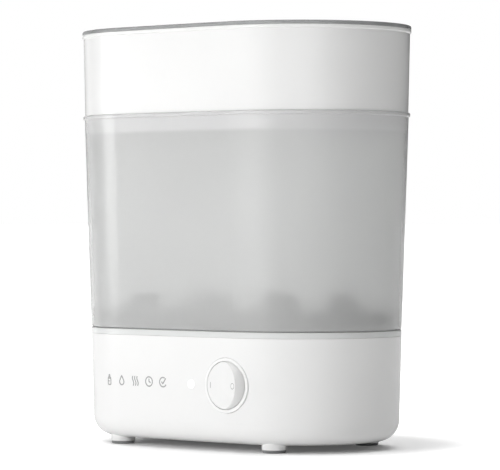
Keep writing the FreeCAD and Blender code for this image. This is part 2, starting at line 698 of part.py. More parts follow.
def supply_capacitor():
    x, y = on_board(4, 8)
    return turned([(0, BOARD_TOP), (5, BOARD_TOP, 0.5), (5, BOARD_TOP + 3, 0.4), (4.7, BOARD_TOP + 3.6, 0.4),
                   (5, BOARD_TOP + 4.2, 0.4), (5, BOARD_TOP + 16, 0.7), (0, BOARD_TOP + 16)], Vector(x, y, 0))


POLES_X = (-90.0, -84.0, -78.0)
POLE_Z = BASE_BOTTOM + FLOOR_SHEET + 5.9
POLE_END = 8.0


def terminal_block():
    """Three-way screw block on the bottom cover where the supply's wires end."""
    floor = BASE_BOTTOM + FLOOR_SHEET - 0.1
    block = box((POLES_X[0] - 4, -POLE_END, floor), (POLES_X[-1] + 4, POLE_END, floor + 13))
    holes = [rod(1.7, (x, -POLE_END - 1, POLE_Z), (x, POLE_END + 1, POLE_Z)) for x in POLES_X]
    holes += [rod(1.9, (x, y, POLE_Z), (x, y, floor + 14)) for x in POLES_X for y in (-4, 4)]
    return block.cut(Part.makeCompound(holes))


def terminal_screws():
    slot_cut = box((-3, -0.4, POLE_Z + 5), (3, 0.4, POLE_Z + 7))
    grub = rod(1.8, (0, 0, POLE_Z + 1.8), (0, 0, POLE_Z + 6)).cut(slot_cut)
    return [grub.translated(Vector(x, y, 0)) for x in POLES_X for y in (-4, 4)]


def power_connector():
    """Three-way socket on the board: switched live in, neutral in, and live out to the heater."""
    return block_on_board(41, 0, 8, 24, 10)


def signal_connector():
    """Two-way socket on the board for the light's leads."""
    return block_on_board(LIGHT_X - BOARD_CENTRE[0], -18, 7, 6, 6)


def cord_gland():
    """Bush in the back wall that the supply cord comes through, tightest in its outer sleeve."""
    face = -front_y(GLAND_X + 9.5, RIM_U - 1.7)
    return turned([
        (4.5, -12), (GLAND_RADIUS - 1, -12, 0.5), (GLAND_RADIUS, -2), (GLAND_RADIUS, 0.05), (9.5, 0.05),
        (9.5, 2.4, 1.0), (5.7, 2.4, 0.5), (5.2, 7.4, 0.8), (3.7, 7.4, 0.5), (3.7, 0.6), (4.5, -0.4),
    ], Vector(GLAND_X, face + 0.2, GLAND_Z), Y_AXIS)


# ---- leads --------------------------------------------------------------------------------------------
LEAD_RADIUS = 1.2
SIGNAL_LEAD_RADIUS = 0.6
TAB_X, TAB_Y, TAB_Z = 10.0, BEZEL_FRONT + 39.1, SWITCH_Z - 8     # the switch's lower terminals
SOCKET_X, SOCKET_Z = BOARD_CENTRE[0] + 41.0, BOARD_TOP + 10.05
OVER_SHIELD = SHIELD_FLOOR + 8.0
PIN_FOOT = ELEMENT_Z - 1.2


def leads():
    """Each insulated lead inside the base, as a tube from one terminal to the next."""
    fuse_z = SPREADER_BOTTOM - 2.4
    routes = {
        "live_lead": [
            (POLES_X[0], -POLE_END - 0.05, POLE_Z), (POLES_X[0], -34, POLE_Z), (-50, -44, 24), (10, -40, 38),
            (36, -26, TAB_Z), (SWITCH_X - TAB_X, -34, TAB_Z), (SWITCH_X - TAB_X, TAB_Y, TAB_Z)],
        "switched_lead": [
            (SWITCH_X + TAB_X, TAB_Y, TAB_Z), (SWITCH_X + TAB_X, -32, TAB_Z), (SOCKET_X, -8, 44),
            (SOCKET_X, -8, SOCKET_Z)],
        "board_neutral_lead": [
            (POLES_X[2], POLE_END + 0.05, POLE_Z), (POLES_X[2], 28, POLE_Z), (-40, 33, 26), (10, 33, 40),
            (SOCKET_X, 8, 42), (SOCKET_X, 8, SOCKET_Z)],
        "heater_lead": [(SOCKET_X, 0, SOCKET_Z), (SOCKET_X, 0, OVER_SHIELD), (5.55, 0, OVER_SHIELD)],
        "fuse_lead": [
            (-5.55, 0, OVER_SHIELD), (-20, 0, OVER_SHIELD), (-27, FUSE_Y, fuse_z), (-14.05, FUSE_Y, fuse_z)],
        "element_live_lead": [
            (14.05, FUSE_Y, fuse_z), (30, FUSE_Y, fuse_z), (36, 4, 61), (14, 26.5, 60), (14, 26.5, PIN_FOOT)],
        "element_neutral_lead": [
            (POLES_X[1], -POLE_END - 0.05, POLE_Z), (POLES_X[1], -22, POLE_Z), (-70, -26, 42),
            (-GROMMET_X, 0, 44), (-GROMMET_X, 0, 61), (-14, 26.5, 60), (-14, 26.5, PIN_FOOT)],
    }
    made = {name: tube_path(points, LEAD_RADIUS, 5.0) for name, points in routes.items()}
    socket_top = BOARD_TOP + 6.05
    made["indicator_leads"] = [
        tube_path([(x, LED_BOARD_Y + BOARD_SHEET + 0.05, 50), (x, -58, 50), (x, -18, 44), (x, -18, socket_top)],
                  SIGNAL_LEAD_RADIUS, 5.0) for x in (LIGHT_X - 1.5, LIGHT_X + 1.5)]
    return made


# ---- bottle basket ------------------------------------------------------------------------------------
RACK_Z = 104.0
RACK_SHEET = 2.4


def bottle_basket():
    """Frosted sleeve that the bottles stand in: flange, tapering wall, rack ledge and locating skirt."""
    return oval_ring([
        (RIM_U - 0.05, BASKET_BOTTOM, 0.6),
        (-2.25, FLANGE_BOTTOM, 0.5),
        (-1.0, FLANGE_BOTTOM, 0.9),
        (-1.0, FLANGE_TOP, 0.9),
        (-4.7, FLANGE_TOP, 0.4),
        (-10.6, RACK_Z, 0.4),
        (-14.6, RACK_Z, 0.4),
        (-14.6, 91.15, 0.4),
        (-12.0, 91.15, 0.8),
        (-11.55, BASKET_BOTTOM, 0.4),
    ])


def peg():
    """Hollow domed guide that an upturned bottle's neck goes over, with four steam slots."""
    low = RACK_Z + PANEL_GAP
    top = low + RACK_SHEET + PEG_HEIGHT
    dome = turned([(0, low), (PEG_RADIUS, low), (PEG_RADIUS - 2.5, top, 8.0), (0, top)])
    core = turned([(0, low - 1), (PEG_RADIUS - 1.8, low - 1), (PEG_RADIUS - 4.4, top - 2, 6.2), (0, top - 2)])
    slots = [slot((0, 0, 0), 60, 4, low + RACK_SHEET + 4, top - 7, 45 + 90 * i) for i in range(2)]
    vent = rod(4.0, (0, 0, low), (0, 0, top + 1))
    return dome, core, slots + [vent]


def bottle_rack():
    """Slotted floor of the basket with six pegs."""
    low = RACK_Z + PANEL_GAP
    top = low + RACK_SHEET
    plate = oval_plate(-11.4, low, top)
    curb = oval_ring([(-11.4, low), (-11.1, low + 9, 0.6), (-13.0, low + 9, 0.6), (-13.4, low)])
    dome, core, cuts = peg()
    spots = [(x * PEG_PITCH_X, y * PEG_PITCH_Y / 2) for x in (-1, 0, 1) for y in (-1, 1)]
    domes = [dome.translated(Vector(x, y, 0)) for x, y in spots]
    removed = [c.translated(Vector(x, y, 0)) for x, y in spots for c in [core] + cuts]
    for x in (-0.5, 0.5):
        for y in (-44, -22, 0, 22, 44):
            removed.append(slot((x * PEG_PITCH_X, y, 0), 18, 4, low - 1, top + 1, 90))
    for x in (-1, 0, 1):
        for side in (-6, 0, 6):
            removed.append(slot((x * PEG_PITCH_X, side, 0), 26, 3, low - 1, top + 1))
    for side in (-1, 1):
        for degrees in (-50, -25, 0, 25, 50):
            p = end_point(-24, degrees, side)
            removed.append(slot((p.x, p.y, 0), 14, 4, low - 1, top + 1, side * degrees))
    return fuse([plate, curb] + domes).cut(Part.makeCompound(removed))


# ---- top basket ---------------------------------------------------------------------------------------
TOP_FLOOR = 262.2
TOP_FLOOR_SHEET = 2.2
TRAY_Z = 268.5


def top_basket():
    """White upper basket for small items: tall wall with a lip, skirt nested in the sleeve, slotted floor."""
    seat = FLANGE_TOP + PANEL_GAP
    floor_top = TOP_FLOOR + TOP_FLOOR_SHEET
    wall = oval_ring([
        (-2.55, seat, 0.3),
        (-1.1, LIP_BOTTOM, 0.3),
        (0.0, LIP_BOTTOM, 1.0),
        (0.0, LIP_TOP, 0.7),
        (-3.5, LIP_TOP, 0.4),
        (-3.9, LIP_BOTTOM - 3, 1.0),
        (-5.0, seat + 3, 4.0),
        (-7.6, seat - 2, 4.0),
        (-8.2, floor_top),
        (-12.0, floor_top),
        (-12.0, TOP_FLOOR),
        (-6.1, TOP_FLOOR, 1.2),
        (-5.3, seat, 0.4),
    ])
    floor = oval_plate(-12.0, TOP_FLOOR, floor_top)
    slots = []
    for i in range(-5, 6):
        for j in (-2, -1, 0, 1, 2):
            shift = 0 if i % 2 else 12
            y = j * 26 + shift
            reach = END_RADIUS - 30
            if abs(y) < reach and abs(i * 22) < END_X + math.sqrt(reach**2 - y * y) - 4:
                slots.append(slot((i * 22, y, 0), 18, 4, TOP_FLOOR - 1, floor_top + 1, 90))
    return fuse([wall, floor]).cut(Part.makeCompound(slots))


def teat_tray():
    """Loose perforated plate in the top basket, with round seats for teats and a finger loop."""
    low, top = TRAY_Z, TRAY_Z + 2.0
    plate = oval_plate(-15.0, low, top)
    feet = [rod(3.0, (x, y, TOP_FLOOR + TOP_FLOOR_SHEET + PANEL_GAP), (x, y, low + 1))
            for x, y in mirrored_points(86, 44)]
    loop = fuse([box((-17, -3, low + 1), (17, 3, low + 30))])
    loop = loop.makeFillet(8, [e for e in loop.Edges if e.BoundBox.ZMin > low + 29 and e.BoundBox.YLength > 5])
    gap = fuse([box((-13, -5, low + 1), (13, 5, low + 26))])
    gap = gap.makeFillet(5, [e for e in gap.Edges if e.BoundBox.ZMin > low + 25 and e.BoundBox.YLength > 5])
    loop = loop.cut(gap.cut(box((-20, -6, low), (20, 6, top))))
    seats = [rod(12, (x, y, low - 1), (x, y, top + 1)) for x in (-100, -60, 60, 100) for y in (-30, 30)]
    seats += [rod(12, (x, y, low - 1), (x, y, top + 1)) for x in (-20, 20) for y in (-48, 48)]
    vents = [slot((x, 0, 0), 20, 4, low - 1, top + 1, 90) for x in (-112, -80, -40, 40, 80, 112)]
    return fuse([plate, loop] + feet).cut(Part.makeCompound(seats + vents))


# ---- lid ----------------------------------------------------------------------------------------------
WELL_STRAIGHT, WELL_RADIUS = 30.0, 34.0
WELL_FLOOR = 323.0
PANEL_TOP, PANEL_LOW = 345.9, 343.6
GRIP_PEG_Y = 38.6
GRIP_PEG_RADIUS = 3.0


def lid():
    """Lid with a proud rim, a sunk panel with steam vents, and a deep well for the fingers."""
    low = LIP_TOP + PANEL_GAP
    rim = oval_ring([
        (-0.1, low, 0.4),
        (-0.1, TOTAL_HEIGHT, 1.1),
        (-7.0, TOTAL_HEIGHT, 1.2),
        (-9.5, PANEL_TOP, 1.2),
        (-14.0, PANEL_TOP),
        (-14.0, PANEL_LOW),
        (-6.6, PANEL_LOW),
        (-6.6, 339.0, 0.6),
        (-4.6, 339.0, 0.6),
        (-4.3, low),
    ])
    panel = oval_plate(-14.0, PANEL_LOW, PANEL_TOP)
    span = 2 * (WELL_STRAIGHT + WELL_RADIUS)
    outer = slot((0, 0, 0), span, 2 * WELL_RADIUS, WELL_FLOOR - 2.2, PANEL_TOP - 0.5)
    inner = slot((0, 0, 0), span - 4.4, 2 * WELL_RADIUS - 4.4, WELL_FLOOR, PANEL_TOP + 10)
    vents = [slot((side * (84 + 9 * i), 0, 0), 44 - 5 * i, 3.4, PANEL_LOW - 1, PANEL_TOP + 1, 90)
             for side in (-1, 1) for i in range(5)]
    peg_holes = [rod(GRIP_PEG_RADIUS + 0.1, (0, side * GRIP_PEG_Y, PANEL_LOW - 1),
                     (0, side * GRIP_PEG_Y, PANEL_TOP + 1)) for side in (-1, 1)]
    return fuse([rim, panel, outer]).cut(Part.makeCompound([inner] + vents + peg_holes))


def lid_grip():
    """Bar across the lid's well, snapped into the panel on two headed pegs."""
    low = PANEL_TOP + 0.05
    bar = box((-11, -WELL_RADIUS - 9, low), (11, WELL_RADIUS + 9, TOTAL_HEIGHT))
    bar = bar.makeFillet(1.6, [e for e in bar.Edges if e.BoundBox.ZMin > TOTAL_HEIGHT - 0.1])
    head = PANEL_LOW - 0.1
    peg = turned([(0, low + 0.5), (GRIP_PEG_RADIUS, low + 0.5), (GRIP_PEG_RADIUS, head), (3.7, head),
                  (3.7, head - 0.5), (2.6, head - 2.4), (0, head - 2.4)])
    pegs = [peg.translated(Vector(0, side * GRIP_PEG_Y, 0)) for side in (-1, 1)]
    return fuse([bar] + pegs)


# ---- build --------------------------------------------------------------------------------------------
def nodes():
    """Every node's name with its solid or its list of separate solids."""
    made = {
        "base_housing": base_housing(),
        "base_rim": base_rim(),
        "bottom_cover": bottom_cover(),
        "deck_screws": deck_screws(),
        "cover_screws": cover_screws(),
        "heating_plate": heating_plate(),
        "plate_gasket": plate_gasket(),
        "heat_spreader": heat_spreader(),
        "heating_element": heating_element(),
        "element_insulators": element_insulators(),
        "element_pins": element_pins(),
        "thermostat": thermostat(),
        "thermostat_bracket": thermostat_bracket(),
        "bracket_screws": bracket_screws(),
        "thermal_fuse": thermal_fuse(),
        "fuse_clip": fuse_clip(),
        "heat_shield": heat_shield(),
        "shield_screws": shield_screws(),
        "shield_grommets": shield_grommets(),
        "switch_bezel": switch_bezel(),
        "rocker": rocker(),
        "switch_body": switch_body(),
        "switch_terminals": switch_terminals(),
        "switch_screws": switch_screws(),
        "indicator_lens": indicator_lens(),
        "status_led": status_led(),
        "led_board": led_board(),
        "led_board_screws": led_board_screws(),
        "control_board": control_board(),
        "board_screws": board_screws(),
        "relay": block_on_board(26, 8, 19, 15.5, 15.5),
        "supply_transformer": supply_transformer(),
        "supply_capacitor": supply_capacitor(),
        "terminal_block": terminal_block(),
        "terminal_screws": terminal_screws(),
        "power_connector": power_connector(),
        "signal_connector": signal_connector(),
        "cord_gland": cord_gland(),
        "bottle_basket": bottle_basket(),
        "bottle_rack": bottle_rack(),
        "top_basket": top_basket(),
        "teat_tray": teat_tray(),
        "lid": lid(),
        "lid_grip": lid_grip(),
    }
    made.update(leads())
    sides = {"front_left": (-1, -1), "front_right": (1, -1), "rear_left": (-1, 1), "rear_right": (1, 1)}
    for name, (sx, sy) in sides.items():
        made["foot_pad_" + name] = foot_pad(sx * FOOT_X, sy * FOOT_Y)
    return made


def export(name, shape):
    solids = shape if isinstance(shape, list) else [shape]
    flat = [s for part in solids for s in part.Solids]
    for solid in flat:
        if not solid.isValid() or solid.Volume <= 0:
            print("PROBLEM: a solid of", name, "is not valid")
    whole = flat[0] if len(flat) == 1 else Part.makeCompound(flat)
    whole.exportStep("parts/" + name + ".step")
    bounds = whole.BoundBox
    print(f"{name:20s} solids {len(flat):2d}  volume {whole.Volume / 1000:8.2f} cm3  "
          f"z {bounds.ZMin:6.1f} to {bounds.ZMax:6.1f}")


os.makedirs("parts", exist_ok=True)
for node_name, node_shape in nodes().items():
    export(node_name, node_shape)
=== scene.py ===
import bmesh
import bpy
import json
import math
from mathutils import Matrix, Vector
from mathutils.bvhtree import BVHTree


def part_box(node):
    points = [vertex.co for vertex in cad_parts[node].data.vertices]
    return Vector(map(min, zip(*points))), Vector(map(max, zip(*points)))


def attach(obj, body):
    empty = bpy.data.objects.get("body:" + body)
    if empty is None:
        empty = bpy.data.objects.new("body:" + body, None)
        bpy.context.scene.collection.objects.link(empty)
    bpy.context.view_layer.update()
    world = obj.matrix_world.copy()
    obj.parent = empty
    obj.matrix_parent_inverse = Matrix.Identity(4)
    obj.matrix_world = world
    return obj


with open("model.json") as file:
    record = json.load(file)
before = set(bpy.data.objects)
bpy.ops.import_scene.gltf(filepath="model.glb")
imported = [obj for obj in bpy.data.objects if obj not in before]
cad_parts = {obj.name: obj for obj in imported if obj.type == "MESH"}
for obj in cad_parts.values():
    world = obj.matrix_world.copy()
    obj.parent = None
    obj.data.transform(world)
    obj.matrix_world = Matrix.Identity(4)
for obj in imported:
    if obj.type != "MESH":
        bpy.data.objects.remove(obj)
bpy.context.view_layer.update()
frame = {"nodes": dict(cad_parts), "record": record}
NODES = frame["nodes"]
MM = 0.001

# ---- camera -------------------------------------------------------------------------------------------
VIEW_AZIMUTH = math.radians(41.63)      # from straight ahead towards the +X side
VIEW_DISTANCE = 2.6226
VIEW_HEIGHT = 0.1862                    # the camera looks level from here
VIEW_SIDESTEP = 0.0048                  # to its own right of the object's middle
LENS = 223.5                            # focal length in mm, on a sensor of SENSOR_WIDTH
SENSOR_WIDTH = 36.0
SHIFT_Y = -0.0226


def place_camera():
    data = bpy.data.cameras.new("camera")
    data.sensor_width = SENSOR_WIDTH
    data.lens = LENS
    data.shift_y = SHIFT_Y
    camera = bpy.data.objects.new("camera", data)
    towards = Vector((math.sin(VIEW_AZIMUTH), -math.cos(VIEW_AZIMUTH), 0))
    right = Vector((math.cos(VIEW_AZIMUTH), math.sin(VIEW_AZIMUTH), 0))
    camera.location = towards * VIEW_DISTANCE + right * VIEW_SIDESTEP + Vector((0, 0, VIEW_HEIGHT))
    camera.rotation_euler = (math.pi / 2, 0, VIEW_AZIMUTH)
    bpy.context.scene.collection.objects.link(camera)
    bpy.context.scene.camera = camera


# ---- studio -------------------------------------------------------------------------------------------
AIM_HEIGHT = 0.175          # the lights face the middle of the object
OVERHEAD = 3.4              # strength of the bright patch of sky above
OVERHEAD_EDGE = 0.76        # sine of the elevation where that patch starts
OVERHEAD_FADE = 0.18        # the same measure, from its edge to full strength
THROUGH = 0.72              # how much of the backdrop shows through frosted walls
FLOOR_SIZE = 400            # metres, so that the floor has no edge in sight
FLOOR_ALBEDO = 0.98
BOUNCE_ALBEDO = 0.9
BOUNCE_DEPTH = 0.3 * MM     # how far the lighting floor lies under the seen one
PAINTED_SHADE_GLOW, FAR_GLOW = 0.07, 0.5         # the seen floor's own light: weak by the object, as a painted shade, and strong away from it
GLOW_START, GLOW_STOP = 0.12, 0.185     # distances between which it rises, the edge of the painted shade
PAINTED_SHADE_CENTRE = (0.025, 0.021, 0.0)      # the middle of the painted soft shade round the object


def soften_edges(data, margin):
    """Fades an area light towards its edges, as cloth over a lamp does. Margin is a share of its size."""
    data.use_nodes = True
    tree = data.node_tree
    split = tree.nodes.new("ShaderNodeSeparateXYZ")
    tree.links.new(tree.nodes.new("ShaderNodeNewGeometry").outputs["Parametric"], split.inputs[0])
    both = tree.nodes.new("ShaderNodeMath")
    both.operation = "MULTIPLY"
    for socket, axis in enumerate("XY"):
        centred = tree.nodes.new("ShaderNodeMath")
        centred.operation = "SUBTRACT"
        centred.inputs[1].default_value = 0.5
        outwards = tree.nodes.new("ShaderNodeMath")
        outwards.operation = "ABSOLUTE"
        fade = tree.nodes.new("ShaderNodeMapRange")
        fade.interpolation_type = "SMOOTHSTEP"
        fade.inputs["From Min"].default_value = 0.5 - margin
        fade.inputs["From Max"].default_value = 0.5
        fade.inputs["To Min"].default_value = 1.0
        fade.inputs["To Max"].default_value = 0.0
        tree.links.new(split.outputs[axis], centred.inputs[0])
        tree.links.new(centred.outputs[0], outwards.inputs[0])
        tree.links.new(outwards.outputs[0], fade.inputs["Value"])
        tree.links.new(fade.outputs["Result"], both.inputs[socket])
    tree.links.new(both.outputs[0], tree.nodes["Emission"].inputs["Strength"])
    data.energy /= (1 - margin) ** 2


def softbox(name, azimuth, elevation, distance, size, power, margin=0.3):
    """An area light facing the middle of the object. Azimuth 0 is in front, 90 on the +X side."""
    data = bpy.data.lights.new(name, "AREA")
    data.shape = "RECTANGLE"
    data.size, data.size_y = size
    data.energy = power
    soften_edges(data, margin)
    light = bpy.data.objects.new(name, data)
    a, e = math.radians(azimuth), math.radians(elevation)
    back = Vector((math.sin(a) * math.cos(e), -math.cos(a) * math.cos(e), math.sin(e)))
    light.location = back * distance + Vector((0, 0, AIM_HEIGHT))
    light.rotation_euler = (-back).to_track_quat("-Z", "Y").to_euler()
    bpy.context.scene.collection.objects.link(light)
    return light


def studio_world():
    """Dark surroundings under a bright overhead, with a white backdrop that glows through frosted walls."""
    world = bpy.data.worlds.new("studio")
    world.use_nodes = True
    tree = world.node_tree
    tree.nodes.clear()
    out = tree.nodes.new("ShaderNodeOutputWorld")
    mix = tree.nodes.new("ShaderNodeMixShader")
    path = tree.nodes.new("ShaderNodeLightPath")
    around = tree.nodes.new("ShaderNodeBackground")
    backdrop = tree.nodes.new("ShaderNodeBackground")
    backdrop.inputs["Color"].default_value = (1, 1, 1, 1)
    backdrop.inputs["Strength"].default_value = 1.0
    coords = tree.nodes.new("ShaderNodeTexCoord")
    split = tree.nodes.new("ShaderNodeSeparateXYZ")
    lift = tree.nodes.new("ShaderNodeMapRange")
    lift.interpolation_type = "SMOOTHSTEP"
    lift.inputs["From Min"].default_value = OVERHEAD_EDGE
    lift.inputs["From Max"].default_value = OVERHEAD_EDGE + OVERHEAD_FADE
    lift.inputs["To Min"].default_value = 0.0
    lift.inputs["To Max"].default_value = OVERHEAD
    through = tree.nodes.new("ShaderNodeMath")
    through.operation = "MULTIPLY_ADD"
    through.inputs[1].default_value = THROUGH
    link = tree.links.new
    link(coords.outputs["Generated"], split.inputs[0])
    link(split.outputs["Z"], lift.inputs["Value"])
    link(lift.outputs["Result"], around.inputs["Strength"])
    link(path.outputs["Is Transmission Ray"], through.inputs[0])
    link(path.outputs["Is Camera Ray"], through.inputs[2])
    link(through.outputs[0], mix.inputs[0])
    link(around.outputs[0], mix.inputs[1])
    link(backdrop.outputs[0], mix.inputs[2])
    link(mix.outputs[0], out.inputs["Surface"])
    bpy.context.scene.world = world


def floor_sheet(name, height, albedo):
    """A flat matt sheet with no edge in sight. Returns it with its material's node tree."""
    mesh = bpy.data.meshes.new(name)
    made = bmesh.new()
    bmesh.ops.create_grid(made, x_segments=1, y_segments=1, size=FLOOR_SIZE)
    made.to_mesh(mesh)
    made.free()
    sheet = bpy.data.objects.new(name, mesh)
    sheet.location.z = height
    bpy.context.scene.collection.objects.link(sheet)
    mat = bpy.data.materials.new(name)
    mat.use_nodes = True
    shader = mat.node_tree.nodes["Principled BSDF"]
    shader.inputs["Base Color"].default_value = (albedo, albedo, albedo, 1)
    shader.inputs["Roughness"].default_value = 0.9
    shader.inputs["Specular IOR Level"].default_value = 0.0
    mesh.materials.append(mat)
    sheet.visible_transmission = False
    return sheet, mat.node_tree


def lay_floor():
    """Endless pale floor in two sheets: one is seen, and one just under it lights the object from below. The
    seen one has its own light, weak round the object as a painted shade and strong away from it.
    """
    seen, tree = floor_sheet("floor", 0.0, FLOOR_ALBEDO)
    seen.visible_diffuse = False
    seen.visible_glossy = False
    seen.visible_shadow = False
    shader = tree.nodes["Principled BSDF"]
    # painted shade: the seen floor's emission is low near the shade centre and rises away from it
    shader.inputs["Emission Color"].default_value = (1, 1, 1, 1)
    offset = tree.nodes.new("ShaderNodeVectorMath")
    offset.operation = "SUBTRACT"
    offset.inputs[1].default_value = PAINTED_SHADE_CENTRE
    away = tree.nodes.new("ShaderNodeVectorMath")
    away.operation = "LENGTH"
    painted_shade_ramp = tree.nodes.new("ShaderNodeMapRange")
    painted_shade_ramp.interpolation_type = "SMOOTHSTEP"
    painted_shade_ramp.inputs["From Min"].default_value = GLOW_START
    painted_shade_ramp.inputs["From Max"].default_value = GLOW_STOP
    painted_shade_ramp.inputs["To Min"].default_value = PAINTED_SHADE_GLOW
    painted_shade_ramp.inputs["To Max"].default_value = FAR_GLOW
    tree.links.new(tree.nodes.new("ShaderNodeTexCoord").outputs["Object"], offset.inputs[0])
    tree.links.new(offset.outputs["Vector"], away.inputs[0])
    tree.links.new(away.outputs["Value"], painted_shade_ramp.inputs["Value"])
    tree.links.new(painted_shade_ramp.outputs["Result"], shader.inputs["Emission Strength"])
    bounce, _ = floor_sheet("floor_bounce", -BOUNCE_DEPTH, BOUNCE_ALBEDO)
    bounce.visible_camera = False


def light_studio():
    """A broad key in front, a weak fill on the right, a strip that streaks the left end, and two behind."""
    key = softbox("key", -8, 10, distance=3.2, size=(3.4, 2.6), power=57, margin=0.45)
    key.visible_glossy = False
    softbox("fill", 50, 12, distance=3.4, size=(2.8, 2.2), power=10)
    softbox("left_strip", -57, 1, distance=2.2, size=(1.1, 1.7), power=6.8, margin=0.48)
    softbox("left_back", -105, 3, distance=2.6, size=(1.4, 1.4), power=2)
    rear = softbox("rear", 230, 18, distance=3.4, size=(1.6, 1.8), power=12)
    rear.visible_transmission = False
    studio_world()
    lay_floor()
    bpy.context.scene.view_settings.view_transform = "Standard"


# ---- materials ----------------------------------------------------------------------------------------
WHITE = (0.875, 0.875, 0.87)            # of the housing and the upper basket
SKIRT_SHOW_THROUGH_PAINT = (0.995, 0.995, 0.995)     # painted glow: the sleeve's colour is lifted where the upper basket's white skirt backs it, standing in for the skirt's light showing through
SKIRT_SHOW_THROUGH_BLUR = 1.5 * MM                  # to either side of the skirt's foot


class Finish:
    """A material whose colour, roughness and bump come from layered noise in the object's own space."""

    def __init__(self, name, colour, roughness, **sockets):
        self.material = bpy.data.materials.new(name)
        self.material.use_nodes = True
        self.tree = self.material.node_tree
        self.shader = self.tree.nodes["Principled BSDF"]
        self.shader.inputs["Base Color"].default_value = (*colour, 1)
        self.shader.inputs["Roughness"].default_value = roughness
        self.roughness = roughness
        for socket, value in sockets.items():
            self.shader.inputs[socket.replace("_", " ")].default_value = value
        self.place = self.tree.nodes.new("ShaderNodeTexCoord").outputs["Object"]
        self.normal = None

    def noise(self, scale, detail, stretch=(1, 1, 1), seed=0.0):
        """A noise value in 0 to 1. Seed moves the pattern, so that two layers don't fall together."""
        mapping = self.tree.nodes.new("ShaderNodeMapping")
        mapping.inputs["Scale"].default_value = stretch
        mapping.inputs["Location"].default_value = (seed, seed * 0.7, -seed)
        noise = self.tree.nodes.new("ShaderNodeTexNoise")
        noise.inputs["Scale"].default_value = scale
        noise.inputs["Detail"].default_value = detail
        self.tree.links.new(self.place, mapping.inputs["Vector"])
        self.tree.links.new(mapping.outputs[0], noise.inputs["Vector"])
        return noise.outputs["Fac"]

    def height(self):
        """Metres above the floor, with the object whole."""
        split = self.tree.nodes.new("ShaderNodeSeparateXYZ")
        self.tree.links.new(self.place, split.inputs[0])
        return split.outputs["Z"]

    def spread(self, value, low, high, start, stop):
        """Takes start to stop in value onto low to high."""
        node = self.tree.nodes.new("ShaderNodeMapRange")
        for socket, number in (("From Min", start), ("From Max", stop), ("To Min", low), ("To Max", high)):
            node.inputs[socket].default_value = number
        self.tree.links.new(value, node.inputs["Value"])
        return node.outputs["Result"]

    def tint(self, value, other, start=0.3, stop=0.7):
        """Fades the colour towards another where value is high."""
        mix = self.tree.nodes.new("ShaderNodeMix")
        mix.data_type = "RGBA"
        base = self.shader.inputs["Base Color"]
        if base.is_linked:
            self.tree.links.new(base.links[0].from_socket, mix.inputs["A"])
        else:
            mix.inputs["A"].default_value = base.default_value
        mix.inputs["B"].default_value = (*other, 1)
        self.tree.links.new(self.spread(value, 0, 1, start, stop), mix.inputs["Factor"])
        self.tree.links.new(mix.outputs["Result"], base)

    def smudge(self, value, swing):
        """Lets the roughness wander by swing to either side."""
        low, high = max(0.02, self.roughness - swing), min(1.0, self.roughness + swing)
        self.tree.links.new(self.spread(value, low, high, 0.3, 0.7), self.shader.inputs["Roughness"])

    def emboss(self, value, strength, depth_mm):
        """Adds a layer of bump under the ones made before it."""
        bump = self.tree.nodes.new("ShaderNodeBump")
        bump.inputs["Strength"].default_value = strength
        bump.inputs["Distance"].default_value = depth_mm * MM
        self.tree.links.new(value, bump.inputs["Height"])
        if self.normal is not None:
            self.tree.links.new(self.normal, bump.inputs["Normal"])
        self.normal = bump.outputs["Normal"]
        self.tree.links.new(self.normal, self.shader.inputs["Normal"])


def shade(colour, factor):
    """A darker or lighter form of a colour."""
    return tuple(min(1.0, c * factor) for c in colour)


def gloss_plastic(name, colour, roughness):
    """Polished moulding: a slow drift in tone, wiping smudges and a faint orange peel."""
    made = Finish(name, colour, roughness)
    made.tint(made.noise(9, 3), shade(colour, 0.975))
    made.smudge(made.noise(38, 4, (1, 1, 0.35), 3.1), roughness * 0.28)
    made.emboss(made.noise(420, 2, seed=1.7), 0.10, 0.05)
    made.emboss(made.noise(34, 1, seed=6.2), 0.05, 0.12)
    return made.material


def satin_plastic(name, colour, roughness=0.46):
    """Spark-eroded moulding with an even, fine grain."""
    made = Finish(name, colour, roughness)
    made.tint(made.noise(16, 3), shade(colour, 0.93))
    made.smudge(made.noise(60, 3, seed=2.2), 0.07)
    made.emboss(made.noise(1500, 2, seed=4.4), 0.35, 0.04)
    return made.material


def frosted_plastic(name, colour, roughness, transmission, grain, collar=None):
    """Translucent moulding that blurs what is behind it. Above the height given as collar it is painted
    paler, a painted glow standing in for the lit skirt seen through it.
    """
    made = Finish(name, colour, roughness, Transmission_Weight=transmission, IOR=1.45)
    made.tint(made.noise(7, 2), shade(colour, 0.96))
    if collar is not None:
        # painted glow: paler above the skirt's foot, where the white skirt behind the wall would show
        # through
        made.tint(made.height(), SKIRT_SHOW_THROUGH_PAINT, collar - SKIRT_SHOW_THROUGH_BLUR, collar + SKIRT_SHOW_THROUGH_BLUR)
    made.smudge(made.noise(30, 3, (1, 1, 0.4), 5.0), 0.04)
    made.emboss(made.noise(grain, 2, seed=0.9), 0.16, 0.03)
    return made.material


def moulded_rubber(name, colour, roughness=0.72):
    """Matt rubber with dusty patches and a coarse grain."""
    made = Finish(name, colour, roughness)
    made.tint(made.noise(70, 4), shade(colour, 1.35), 0.45, 0.75)
    made.smudge(made.noise(240, 3, seed=1.1), 0.12)
    made.emboss(made.noise(1700, 2, seed=3.3), 0.45, 0.05)
    return made.material


def brushed_metal(name, colour):
    """Sheet metal with fine straight brush lines along X and a patchy cast."""
    made = Finish(name, colour, 0.34, Metallic=1.0, Anisotropic=0.45)
    lines = made.noise(2600, 3, (0.02, 1, 1), 2.0)
    made.tint(made.noise(28, 4), shade(colour, 0.9))
    made.smudge(lines, 0.10)
    made.emboss(lines, 0.22, 0.03)
    made.emboss(made.noise(55, 2, seed=8.0), 0.05, 0.15)
    return made.material


